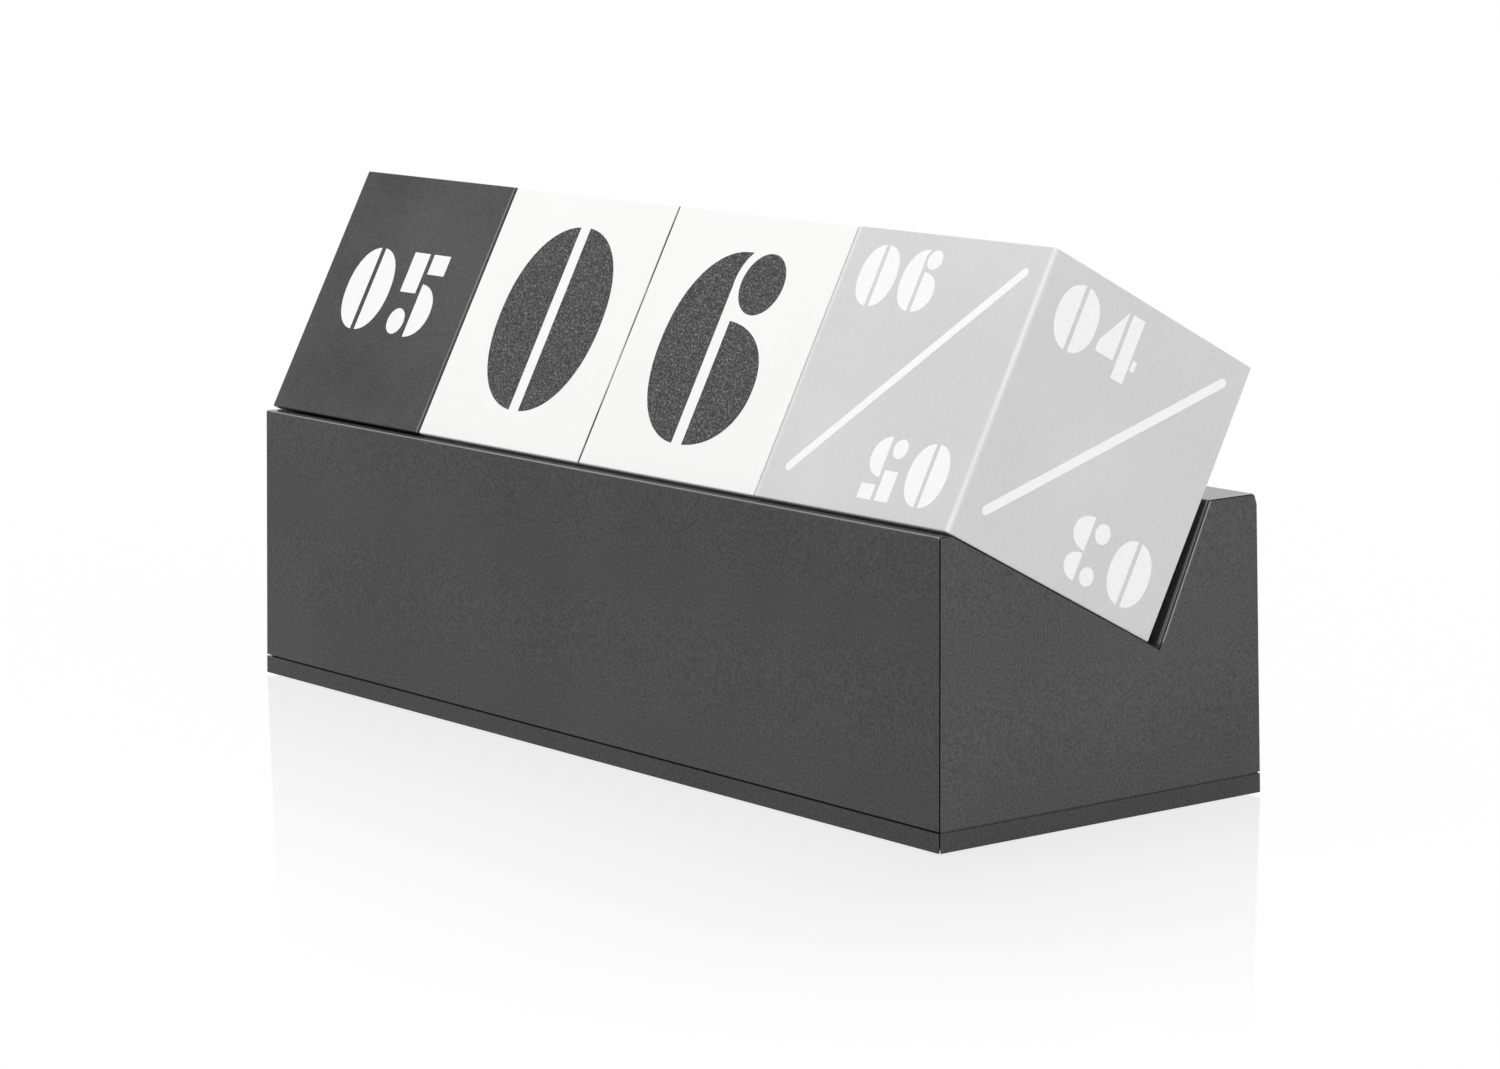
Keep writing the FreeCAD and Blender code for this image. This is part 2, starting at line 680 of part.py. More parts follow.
def make_cube_lid(name, number):
    """Flat plate that closes the cube's left side, flush with it."""
    body = document.addObject("PartDesign::Body", name)
    middle = f"{size('cube_edge')} / 2"
    plate = rectangle(body, name + "Plate", "YZ_Plane", (f"{middle} - {lid_half}", f"{middle} - {lid_half}"),
                      (f"{middle} + {lid_half}", f"{middle} + {lid_half}"))
    bind(plate, {"AttachmentOffset.Base.z": f"-{size('cube_edge')}"})
    pad = body.newObject("PartDesign::Pad", name + "Pad")
    pad.Profile = plate
    bind(pad, {"Length": size("cube_wall")})
    seat_on_slope(body, number)
    return body


# ------------------------------------------------------------------ put together
holder_form = make_holder_form()
hollow_space = make_hollow()
end_cut = make_end_form("EndCut", f"-{mitre_shift} / 2")
panel_space = make_end_form("PanelSpace", f"{mitre_shift} / 2")

nodes = {
    "holder_shell": make_shell(holder_form, hollow_space, end_cut),
    "base_plate": make_base_plate(holder_form, end_cut),
    "drawer_front": make_drawer_front(holder_form, panel_space),
    "drawer_tray": make_tray(),
    "base_screws": group("BaseScrews", [
        make_screw("BaseScrew" + place, size("screw_length"),
                   (across, back, f"{base_top} - {size('screw_pad_skin')} - {size('head_height')}"))
        for place, across, back in boss_places
    ]),
    "drawer_front_screws": group("FrontScrews", [
        make_screw("PanelScrew" + place, size("front_screw_length"),
                   (f"{tray_right} - {size('tray_wall')} - {size('head_height')}", back, front_boss_z),
                   lying=True)
        for place, back in front_boss_places
    ]),
}
for place, across, back in foot_places:
    node = "foot_" + place.replace("Front", "front_").replace("Rear", "rear_").lower()
    nodes[node] = make_foot(place, across, back)
for number, cube in enumerate(cube_names):
    nodes[cube + "_body"] = make_cube_body("".join(word.title() for word in cube.split("_")) + "Body", number)
    nodes[cube + "_lid"] = make_cube_lid("".join(word.title() for word in cube.split("_")) + "Lid", number)
document.recompute()

for thing in document.Objects:
    if "Invalid" in thing.State or "Error" in thing.State:
        raise RuntimeError(f"{thing.Name} failed: {thing.State}")
os.makedirs("parts", exist_ok=True)
for node, thing in nodes.items():
    thing.Label = node
    if thing.Shape.isNull() or not thing.Shape.isValid():
        raise RuntimeError(f"{node} has no valid shape")
for node, thing in nodes.items():
    thing.Shape.exportStep(f"parts/{node}.step")
    print(node, len(thing.Shape.Solids), "solids", round(thing.Shape.Volume, 1), "mm3")
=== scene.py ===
import math

import bpy
import numpy as np
from mathutils import Matrix, Vector


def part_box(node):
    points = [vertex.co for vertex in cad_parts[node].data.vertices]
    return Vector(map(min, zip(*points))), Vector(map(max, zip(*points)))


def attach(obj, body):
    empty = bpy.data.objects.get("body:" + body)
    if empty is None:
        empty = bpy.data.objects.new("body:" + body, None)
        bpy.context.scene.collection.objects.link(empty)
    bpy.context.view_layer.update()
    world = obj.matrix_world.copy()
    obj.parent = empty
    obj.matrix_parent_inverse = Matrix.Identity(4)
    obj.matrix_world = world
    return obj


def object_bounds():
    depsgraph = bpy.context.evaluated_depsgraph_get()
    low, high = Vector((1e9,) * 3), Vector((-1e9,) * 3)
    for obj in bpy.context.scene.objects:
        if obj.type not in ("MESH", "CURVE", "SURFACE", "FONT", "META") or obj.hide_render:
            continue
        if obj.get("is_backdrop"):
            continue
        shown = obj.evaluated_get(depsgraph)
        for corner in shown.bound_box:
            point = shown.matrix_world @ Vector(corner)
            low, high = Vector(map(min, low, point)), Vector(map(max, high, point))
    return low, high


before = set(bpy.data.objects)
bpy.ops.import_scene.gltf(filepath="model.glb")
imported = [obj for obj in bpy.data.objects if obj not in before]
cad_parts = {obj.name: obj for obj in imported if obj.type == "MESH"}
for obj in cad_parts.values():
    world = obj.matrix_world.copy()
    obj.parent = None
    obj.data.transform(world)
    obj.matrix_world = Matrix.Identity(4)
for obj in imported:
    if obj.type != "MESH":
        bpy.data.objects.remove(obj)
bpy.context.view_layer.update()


# ---------------------------------------------------------------- camera
# A long lens stands to the right of the calendar's front, a little above its top edge, and looks slightly
# down along its length, so that the drawer's end comes forward.
MM = 0.001
IMAGE_WIDTH = 1500
FOCAL_PIXELS = 4605
SENSOR_WIDTH = 36
CAMERA_PLACE = (627.2, -488.0, 165.3)
CAMERA_AZIMUTH = math.radians(51.85)
CAMERA_ELEVATION = math.radians(9.315)
CAMERA_ROLL = math.radians(-0.42)
NEAREST = 0.01
FARTHEST = 20

lens = bpy.data.cameras.new("camera")
lens.sensor_width = SENSOR_WIDTH
lens.lens = SENSOR_WIDTH * FOCAL_PIXELS / IMAGE_WIDTH
lens.clip_start = NEAREST
lens.clip_end = FARTHEST
camera = bpy.data.objects.new("camera", lens)
camera.matrix_world = (
    Matrix.Translation(Vector(CAMERA_PLACE) * MM)
    @ Matrix.Rotation(CAMERA_AZIMUTH, 4, "Z")
    @ Matrix.Rotation(math.pi / 2 - CAMERA_ELEVATION, 4, "X")
    @ Matrix.Rotation(CAMERA_ROLL, 4, "Z")
)
bpy.context.scene.collection.objects.link(camera)
bpy.context.scene.camera = camera


# ---------------------------------------------------------------- holder and drawer front
# The shell, the strip of its base plate and the drawer's end panel are injection moulded in charcoal ABS.
# The moulds are spark eroded, so every outer face has the same fine grain, dull in the pits and brighter on
# the peaks. The shell is screwed to the base plate from below; the panel is screwed to the tray.


def fresh_material(name):
    """A node material, its node tree, and its one shader."""
    material = bpy.data.materials.new(name)
    material.use_nodes = True
    tree = material.node_tree
    return material, tree, tree.nodes["Principled BSDF"]


def add(tree, kind, settings=None, **inputs):
    """Add a node: settings are its properties, inputs its sockets, each a value or another node's socket."""
    made = tree.nodes.new(kind)
    for key, setting in (settings or {}).items():
        setattr(made, key, setting)
    for key, given in inputs.items():
        socket = made.inputs[int(key[1:])] if key[0] == "i" and key[1:].isdigit() else made.inputs[key]
        if isinstance(given, bpy.types.NodeSocket):
            tree.links.new(given, socket)
        else:
            socket.default_value = given
    return made


def noise(tree, place, scale, detail=2.0, roughness=0.5):
    """Noise with scale lumps to the metre."""
    return add(tree, "ShaderNodeTexNoise", Vector=place, Scale=scale, Detail=detail,
               Roughness=roughness).outputs["Fac"]


def spread(tree, source, low, high, start=0.35, end=0.65):
    """Map start to end of a source, by default a noise's middle, onto low to high, and hold it beyond."""
    return add(tree, "ShaderNodeMapRange", i0=source, i1=start, i2=end, i3=low, i4=high).outputs[0]


def component(tree, vector, axis):
    """The X, Y or Z of a vector."""
    return add(tree, "ShaderNodeSeparateXYZ", i0=vector).outputs[axis]


def tint(tree, dark, light, factor):
    """Mix two grey or coloured tones."""
    made = add(tree, "ShaderNodeMix", {"data_type": "RGBA"}, i0=factor)
    made.inputs[6].default_value = (*dark, 1)
    made.inputs[7].default_value = (*light, 1)
    return made.outputs[2]


def laid_over(tree, colour, mask, tone):
    """A colour with a grey tone laid over it where a mask says."""
    mix = add(tree, "ShaderNodeMix", {"data_type": "RGBA"}, i0=mask, i6=colour)
    mix.inputs[7].default_value = (tone, tone, tone, 1)
    return mix.outputs[2]


def product(tree, first, second):
    """Two numbers multiplied. Of two masks it is 1 only where both are."""
    return add(tree, "ShaderNodeMath", {"operation": "MULTIPLY"}, i0=first, i1=second).outputs[0]


BACK_LEAN = math.radians(25.8)
V_FOOT = (12.68 * MM, 27.94 * MM)
V_STRIP_START = 95.65 * MM
V_LINE = 0.18 * MM
V_START = 0.3 * MM
SOFT_STEP = 0.05 * MM


# The mask below places painted light on the shell's V back slope next to the panel.
def v_strip(tree, where):
    """1 on the end of the V's back slope, a strip of 1.3 mm next to the panel, and 0 elsewhere."""
    outward = component(tree, where.outputs["Object"], "X")
    forward = spread(tree, component(tree, where.outputs["Normal"], "Y"), 1, 0, start=-0.85, end=-0.6)
    upward = spread(tree, component(tree, where.outputs["Normal"], "Z"), 0, 1, start=0.2, end=0.4)
    strip = spread(tree, outward, 0, 1, start=V_STRIP_START, end=V_STRIP_START + 4 * SOFT_STEP)
    return product(tree, product(tree, forward, upward), strip)


# The mask below places a painted highlight line on the panel's edge along the V's back slope.
def v_edge(tree, where):
    """1 on a face that looks to the right, along the back slope of the V, and 0 elsewhere.

    The distance to the slope is (y - foot y) cos(lean) - (z - foot z) sin(lean).
    """
    apart = add(tree, "ShaderNodeVectorMath", {"operation": "SUBTRACT"}, i0=where.outputs["Object"],
                i1=(0, *V_FOOT)).outputs[0]
    distance = add(tree, "ShaderNodeVectorMath", {"operation": "DOT_PRODUCT"}, i0=apart,
                   i1=(0, math.cos(BACK_LEAN), -math.sin(BACK_LEAN))).outputs["Value"]
    inside = spread(tree, distance, 0, 1, start=-2 * SOFT_STEP, end=-SOFT_STEP)
    near = product(tree, inside, spread(tree, distance, 1, 0, start=V_LINE, end=2 * V_LINE))
    above = spread(tree, component(tree, apart, "Z"), 0, 1, start=0, end=V_START)
    rightward = spread(tree, component(tree, where.outputs["Normal"], "X"), 0, 1, start=0.5, end=0.9)
    return product(tree, near, product(tree, above, rightward))


GRAIN_RELIEF = 0.6
RUBBED_RELIEF = 0.08
# Shares of the painted rim sheen on the flats, at the front and at the back.
FRONT_SHEEN = 0.2
REAR_SHEEN = 0.9


def spark_plastic(name, dark, light, grain, depth, dull, bright, gloss=0.25, floor_shade=None, rubbed=None,
                  rim=None, v_highlight_tone=None, lit_strip_tone=None):
    """Moulded plastic with a spark-eroded grain: grain is lumps per metre, depth the bump in metres.

    With a floor shade (height, tone), what lies below the height is darker by the tone: painted shade near
    the floor. With rubbed, a roughness, surfaces and edges that face up are smoother: hands and cubes have
    rubbed their grain down. With a rim (height, tone), the edges above the height that face up are painted
    paler, to the tone, and the flats there less, most at the back: a painted sheen. The V tone is that of a
    painted highlight along the edge of the V's back slope, and the strip tone that of painted light on the
    strip at the slope's end.
    """
    material, tree, shader = fresh_material(name)
    where = add(tree, "ShaderNodeTexCoord")
    place = where.outputs["Object"]
    fine = noise(tree, place, grain, detail=3.0, roughness=0.65)
    cloudy = noise(tree, place, 22.0, detail=2.0)
    tone = add(tree, "ShaderNodeMath", {"operation": "MULTIPLY_ADD"}, i0=spread(tree, fine, 0, 1), i1=0.8,
               i2=spread(tree, cloudy, 0, 0.2)).outputs[0]
    colour = tint(tree, dark, light, tone)
    level = component(tree, place, "Z")
    upward = component(tree, where.outputs["Normal"], "Z")
    # Painted shade near the floor: below the height the colour is scaled darker.
    if floor_shade:
        height, darker = floor_shade
        strength = spread(tree, level, darker, 1.0, start=height - 2 * SOFT_STEP, end=height + 2 * SOFT_STEP)
        scaled = add(tree, "ShaderNodeVectorMath", {"operation": "SCALE"}, i0=colour, Scale=strength)
        colour = scaled.outputs[0]
    # Painted sheen: edges above the rim height that face up, and less the flats there, are paler.
    if rim:
        height, pale = rim
        above = spread(tree, level, 0, 1, start=height, end=height + 2 * SOFT_STEP)
        turned = spread(tree, upward, 0, 1, start=0.40, end=0.75)
        backward = component(tree, place, "Y")
        flat_sheen = spread(tree, backward, FRONT_SHEEN, REAR_SHEEN, start=-5 * MM, end=5 * MM)
        level_share = spread(tree, upward, 1, flat_sheen, start=0.90, end=0.98)
        colour = laid_over(tree, colour, product(tree, product(tree, above, turned), level_share), pale)
    # Painted highlight along the panel's edge at the V's back slope.
    if v_highlight_tone:
        colour = laid_over(tree, colour, v_edge(tree, where), v_highlight_tone)
    # Painted light on the strip at the end of the V's back slope.
    if lit_strip_tone:
        colour = laid_over(tree, colour, v_strip(tree, where), lit_strip_tone)
    tree.links.new(colour, shader.inputs["Base Color"])
    roughness = spread(tree, fine, dull, bright)
    relief = GRAIN_RELIEF
    if rubbed:
        sheen = spread(tree, upward, 0, 1, start=0.2, end=0.8)
        roughness = spread(tree, sheen, roughness, rubbed, start=0, end=1)
        relief = spread(tree, sheen, relief, RUBBED_RELIEF, start=0, end=1)
    tree.links.new(roughness, shader.inputs["Roughness"])
    shader.inputs["Specular IOR Level"].default_value = gloss
    bump = add(tree, "ShaderNodeBump", Strength=relief, Distance=depth, Height=fine).outputs[0]
    tree.links.new(bump, shader.inputs["Normal"])
    return material


def dress(node, material):
    """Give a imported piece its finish."""
    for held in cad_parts[node].material_slots:
        held.material = material


# Tone of the painted sheen on the rims' upward edges above this height.
RIM_SHEEN = (49.6 * MM, 0.22)
# Below this height the holder's colour is darker: painted shade near the floor.
BASE_STRIP_TOP = 3.8 * MM
CHARCOAL = {"grain": 2400.0, "depth": 0.03 * MM, "dull": 0.44, "bright": 0.30, "rubbed": 0.16,
            "rim": RIM_SHEEN}
shell_charcoal = spark_plastic("shell_charcoal_plastic", (0.021, 0.021, 0.022), (0.071, 0.071, 0.073),
                               floor_shade=(BASE_STRIP_TOP, 0.78), lit_strip_tone=0.27, **CHARCOAL)
# The panel makes the end face. Its tones are lighter than the shell's: painted light on the end.
panel_charcoal_lit = spark_plastic("panel_charcoal_plastic", (0.033, 0.033, 0.034), (0.089, 0.089, 0.091),
                               floor_shade=(BASE_STRIP_TOP, 0.74), v_highlight_tone=0.24, **CHARCOAL)
dress("holder_shell", shell_charcoal)
dress("base_plate", shell_charcoal)
dress("drawer_front", panel_charcoal_lit)


# ---------------------------------------------------------------- drawer tray
# The tray is one thin black moulding, polished smooth inside so that pens and clips slide out of it.
# It slides on two ribs of the base plate, and its front wall is screwed to the end panel.
tray_black = spark_plastic("tray_satin_plastic", (0.022, 0.022, 0.024), (0.030, 0.030, 0.032),
                           grain=900.0, depth=0.008 * MM, dull=0.42, bright=0.34)
dress("drawer_tray", tray_black)


# ---------------------------------------------------------------- screws
# Zinc plated pan head screws with a cross recess, self tapping: four hold the base plate to the shell from
# below, two hold the tray to the end panel.
def zinc(name):
    """Bright plating, turned, with faint smudges."""
    material, tree, shader = fresh_material(name)
    place = add(tree, "ShaderNodeTexCoord").outputs["Object"]
    smudge = noise(tree, place, 700.0, detail=4.0)
    shader.inputs["Metallic"].default_value = 1.0
    tree.links.new(tint(tree, (0.50, 0.50, 0.49), (0.66, 0.66, 0.66), spread(tree, smudge, 0, 1)),
                   shader.inputs["Base Color"])
    tree.links.new(spread(tree, smudge, 0.42, 0.24), shader.inputs["Roughness"])
    return material


screw_zinc = zinc("zinc_plated_steel")
for piece in ("base_screws", "drawer_front_screws"):
    dress(piece, screw_zinc)


# ---------------------------------------------------------------- feet
# Four round pads punched from black rubber sheet, stuck in shallow seats of the base plate.
foot_rubber = spark_plastic("foot_rubber", (0.016, 0.016, 0.016), (0.028, 0.028, 0.028),
                            grain=1800.0, depth=0.04 * MM, dull=0.9, bright=0.8)
for side in ("front_left", "front_right", "rear_left", "rear_right"):
    dress("foot_" + side, foot_rubber)


# ---------------------------------------------------------------- cubes
# Each cube is a hollow moulding closed by a flush lid on its left side. The weekday's is charcoal, the two
# date cubes are white and the month's is light grey. They are finer grained than the holder. Years of
# turning have left a faint polish. The white pair's seam has painted shade along it, and the front edges
# of the weekday and month cubes have painted highlights.
SEAT_TILT = math.radians(27.9)
CUBE_EDGE = 48 * MM
CUBE_HALF = CUBE_EDGE / 2


def cube_frame(name):
    """A cube's left front bottom corner, and its directions to the right, to the back and up."""
    low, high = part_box(name + "_body")
    back = Vector((0, math.cos(SEAT_TILT), -math.sin(SEAT_TILT)))
    up = Vector((0, math.sin(SEAT_TILT), math.cos(SEAT_TILT)))
    middle = (low + high) / 2
    right = Vector((1, 0, 0))
    return middle - (right + back + up) * CUBE_HALF, right, back, up


def seat_place(tree, seam_x):
    """Object coordinates turned with the seat and centred on a point of the cubes' axis."""
    place = add(tree, "ShaderNodeTexCoord").outputs["Object"]
    low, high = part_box("month_cube_body")
    middle = (low + high) / 2
    shifted = add(tree, "ShaderNodeVectorMath", {"operation": "SUBTRACT"}, i0=place,
                  i1=(seam_x, middle.y, middle.z)).outputs[0]
    return add(tree, "ShaderNodeMapping", Vector=shifted, Rotation=(SEAT_TILT, 0, 0)).outputs[0]


# The mask below places painted shade along the seam between two cubes.
def seam_shade(tree, seam_x):
    """1 on the border of the two cube faces that meet at a seam, and 0 elsewhere.

    The border is where the distance from the seam's plane is under a quarter of a millimetre and the
    larger of the two distances from the cubes' axis comes within a millimetre of half the cube's edge.
    """
    place = seat_place(tree, seam_x)
    apart = add(tree, "ShaderNodeSeparateXYZ", i0=place)
    sizes = [add(tree, "ShaderNodeMath", {"operation": "ABSOLUTE"}, i0=apart.outputs[axis]).outputs[0]
             for axis in range(3)]
    far = add(tree, "ShaderNodeMath", {"operation": "MAXIMUM"}, i0=sizes[1], i1=sizes[2]).outputs[0]
    rim = spread(tree, far, 0, 1, start=CUBE_HALF - 1.2 * MM, end=CUBE_HALF - 0.6 * MM)
    near = spread(tree, sizes[0], 1, 0, start=0.16 * MM, end=0.30 * MM)
    patchy = spread(tree, noise(tree, place, 90.0), 0.45, 1.0)
    return product(tree, product(tree, rim, near), patchy)


# The mask below places a painted highlight on a cube's rounded upright front edge.
def edge_highlight(tree, middle_x, start, end, fades=False, side=1.0):
    """1 along the upright edge between a cube's front and its right end, or its left one for a side of -1.

    On those two faces the lesser of the distances to that side and to the front, from the cube's middle,
    says how near the edge is. The mask rises as it goes from start to end, and past end it may fade again.
    """
    place = seat_place(tree, middle_x)
    sideward = product(tree, component(tree, place, "X"), side)
    forward = product(tree, component(tree, place, "Y"), -1.0)
    near = add(tree, "ShaderNodeMath", {"operation": "MINIMUM"}, i0=sideward, i1=forward).outputs[0]
    edge = spread(tree, near, 0, 1, start=start, end=end)
    if fades:
        edge = product(tree, edge, spread(tree, near, 1, 0, start=end, end=2 * end - start))
    return product(tree, edge, spread(tree, noise(tree, place, 60.0), 0.6, 1.0))


# Tone of the painted shade in a seam.
SEAM_SHADE = 0.05
CUBE_GRAIN = 0.012 * MM


def cube_plastic(name, dark, light, dull, bright, grain=3200.0, shaded_seam=None, sheen=()):
    """Satin moulded plastic with a very fine grain and faint clouds of polish.

    At the seam that is given, the border of the two faces has painted shade. Each listed highlight
    (middle, start, end, tone, fades, side) is painted: the cube's front edge on that side goes to the tone.
    """
    material, tree, shader = fresh_material(name)
    place = add(tree, "ShaderNodeTexCoord").outputs["Object"]
    fine = noise(tree, place, grain, detail=2.0, roughness=0.6)
    cloudy = noise(tree, place, 30.0, detail=3.0)
    tone = add(tree, "ShaderNodeMath", {"operation": "MULTIPLY_ADD"}, i0=spread(tree, fine, 0, 1), i1=0.5,
               i2=spread(tree, cloudy, 0, 0.5)).outputs[0]
    colour = tint(tree, dark, light, tone)
    # Painted shade along the given seam.
    if shaded_seam is not None:
        colour = laid_over(tree, colour, seam_shade(tree, shaded_seam), SEAM_SHADE)
    # Painted highlights along the listed front edges.
    for middle, start, end, highlight_tone, fades, side in sheen:
        colour = laid_over(tree, colour, edge_highlight(tree, middle, start, end, fades, side), highlight_tone)
    tree.links.new(colour, shader.inputs["Base Color"])
    tree.links.new(spread(tree, cloudy, dull, bright), shader.inputs["Roughness"])
    shader.inputs["Specular IOR Level"].default_value = 0.35
    bump = add(tree, "ShaderNodeBump", Strength=0.5, Distance=CUBE_GRAIN, Height=fine).outputs[0]
    tree.links.new(bump, shader.inputs["Normal"])
    return material


# The seam between the date cubes gets painted shade.
date_seam = (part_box("tens_cube_body")[1].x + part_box("units_cube_body")[0].x) / 2
weekday_middle = sum(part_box("weekday_cube_body"), Vector()).x / 2
month_middle = sum(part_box("month_cube_body"), Vector()).x / 2
# Painted highlights on the rounded upright front edges of the weekday and month cubes.
weekday_highlights = [(weekday_middle, CUBE_HALF - 0.85 * MM, CUBE_HALF - 0.60 * MM, 0.26, True, 1.0)]
month_highlights = [(month_middle, CUBE_HALF - 0.95 * MM, CUBE_HALF - 0.10 * MM, 0.82, False, 1.0),
               (month_middle, CUBE_HALF - 1.20 * MM, CUBE_HALF - 0.10 * MM, 0.80, False, -1.0)]
cube_finishes = {
    "weekday_cube": cube_plastic("weekday_charcoal_plastic", (0.008, 0.008, 0.009), (0.060, 0.060, 0.061),
                                 0.42, 0.32, grain=2000.0, sheen=weekday_highlights),
    "tens_cube": cube_plastic("date_white_plastic", (0.87, 0.87, 0.865), (0.91, 0.91, 0.905), 0.36, 0.28,
                              shaded_seam=date_seam),
    "month_cube": cube_plastic("month_grey_plastic", (0.595, 0.595, 0.60), (0.665, 0.665, 0.67), 0.36, 0.28,
                               grain=2000.0, sheen=month_highlights),
}
cube_finishes["units_cube"] = cube_finishes["tens_cube"]
for cube, finish in cube_finishes.items():
    dress(cube + "_body", finish)
    dress(cube + "_lid", finish)


# ---------------------------------------------------------------- numerals
# The numerals are screen printed in one heavy stencil face: dark ink on the white cubes, white ink on the
# others. The ink lies a few hundredths of a millimetre thick on the grain of the plastic.
SLIT = 0.04
FULLNESS = 2.15


def arc(start, end, count=40):
    """Angles in radians, evenly spaced."""
    return np.linspace(math.radians(start), math.radians(end), count)


def oval(middle, reach, tall, angles, fullness=FULLNESS):
    """Points of a superellipse: x and y are the cosine and sine, each to the power 2 / fullness."""
    power = 2 / fullness
    across = np.sign(np.cos(angles)) * np.abs(np.cos(angles)) ** power
    along = np.sign(np.sin(angles)) * np.abs(np.sin(angles)) ** power
    return np.stack([middle[0] + reach * across, middle[1] + tall * along], axis=1)


def bowl(side, middle_y, reach, tall, cut=SLIT):
    """Half of an oval beside the stencil's slit: side is 1 for the right half and -1 for the left."""
    whole = oval((0, middle_y), reach, tall, arc(-90, 90, 61))
    kept = whole[whole[:, 0] >= cut]
    edge = tall * (1 - (cut / reach) ** FULLNESS) ** (1 / FULLNESS)
    half = np.vstack([[(cut, middle_y - edge)], kept, [(cut, middle_y + edge)]])
    return half if side > 0 else (half * (-1, 1))[::-1]


def ball(x, y, radius):
    """A round drop: a full circle."""
    return oval((x, y), radius, radius, arc(0, 360, 49)[:-1], fullness=2)


def plate(*corners):
    """A straight-sided part of a numeral."""
    return np.array(corners, float)


SIX_DROP = (0.171, 0.345)
DROP_RADIUS = 0.159
DROP_GAP = 0.055


def six_back():
    """The long left side of a 6: an oval's left half whose top hooks round its drop at an even gap."""
    outer = oval((0, 0), 0.420, 0.5, arc(90, 270, 61))
    outer = outer[outer[:, 0] <= -SLIT]
    hook_radius = DROP_RADIUS + DROP_GAP
    round_drop = oval(SIX_DROP, hook_radius, hook_radius, arc(187, 134, 12), fullness=2)
    return np.vstack([[(0.022, 0.5)], outer, [(-SLIT, -0.497)], round_drop])


def numeral_parts():
    """The stencil parts of each numeral, one unit high about its middle, with the slit at x = 0."""
    return {
        "0": [bowl(-1, 0, 0.423, 0.5), bowl(1, 0, 0.423, 0.5)],
        "1": [plate((-0.30, 0.24), (-SLIT, 0.34), (-SLIT, 0.5), (-0.12, 0.44), (-0.30, 0.38)),
              plate((SLIT, -0.5), (0.30, -0.5), (0.30, 0.5), (SLIT, 0.5))],
        "2": [ball(-0.19, 0.33, 0.155),
              bowl(1, 0.21, 0.37, 0.29),
              plate((-0.39, -0.5), (0.39, -0.5), (0.39, -0.24), (-0.03, -0.24), (0.20, -0.12), (SLIT, -0.11),
                    (-0.39, -0.40))],
        "3": [ball(-0.19, 0.345, 0.145), ball(-0.20, -0.33, 0.155),
              bowl(1, 0.28, 0.33, 0.22), bowl(1, -0.235, 0.38, 0.265)],
        "4": [plate((-SLIT, 0.5), (-0.43, -0.10), (-0.43, -0.26), (-SLIT, -0.26)),
              plate((SLIT, -0.5), (0.30, -0.5), (0.30, 0.5), (SLIT, 0.5)),
              plate((0.34, -0.26), (0.43, -0.26), (0.43, -0.10), (0.34, -0.10))],
        "5": [plate((-0.34, 0.02), (-SLIT, 0.02), (-SLIT, 0.5), (-0.34, 0.5)),
              plate((SLIT, 0.26), (0.36, 0.26), (0.36, 0.5), (SLIT, 0.5)),
              bowl(1, -0.18, 0.38, 0.32), ball(-0.20, -0.33, 0.155)],
        "6": [six_back(), ball(*SIX_DROP, DROP_RADIUS), bowl(1, -0.1775, 0.400, 0.3225)],
        "7": [plate((-0.37, 0.24), (-SLIT, 0.24), (-SLIT, 0.5), (-0.37, 0.5)),
              plate((SLIT, 0.5), (SLIT, 0.16), (-0.16, -0.5), (0.16, -0.5), (0.39, 0.38), (0.39, 0.5))],
        "8": [bowl(-1, 0.28, 0.35, 0.22), bowl(1, 0.28, 0.35, 0.22),
              bowl(-1, -0.235, 0.41, 0.265), bowl(1, -0.235, 0.41, 0.265)],
    }


NUMERALS = numeral_parts()
NUMERALS["9"] = [-part for part in NUMERALS["6"]]
NUMERAL_STEP = 0.97


def number_outlines(digits, middle, height, upside_down=False):
    """Outlines of a number about a middle, in millimetres on the face, turned half round if asked."""
    outlines = []
    for place, digit in enumerate(digits):
        shift = (place - (len(digits) - 1) / 2) * NUMERAL_STEP
        for part in NUMERALS[digit]:
            moved = (part + (shift, 0)) * height
            outlines.append((-moved if upside_down else moved) + middle)
    return outlines


def slash_outline(start, end, width):
    """A straight bar with round ends."""
    start, end = np.array(start, float), np.array(end, float)
    heading = math.degrees(math.atan2(*(end - start)[::-1]))
    far = oval(end, width / 2, width / 2, arc(heading - 90, heading + 90, 16), fullness=2)
    near = oval(start, width / 2, width / 2, arc(heading + 90, heading + 270, 16), fullness=2)
    return np.vstack([far, near])


INK_PROUD = 0.03 * MM
INK_SUNK = 0.02 * MM


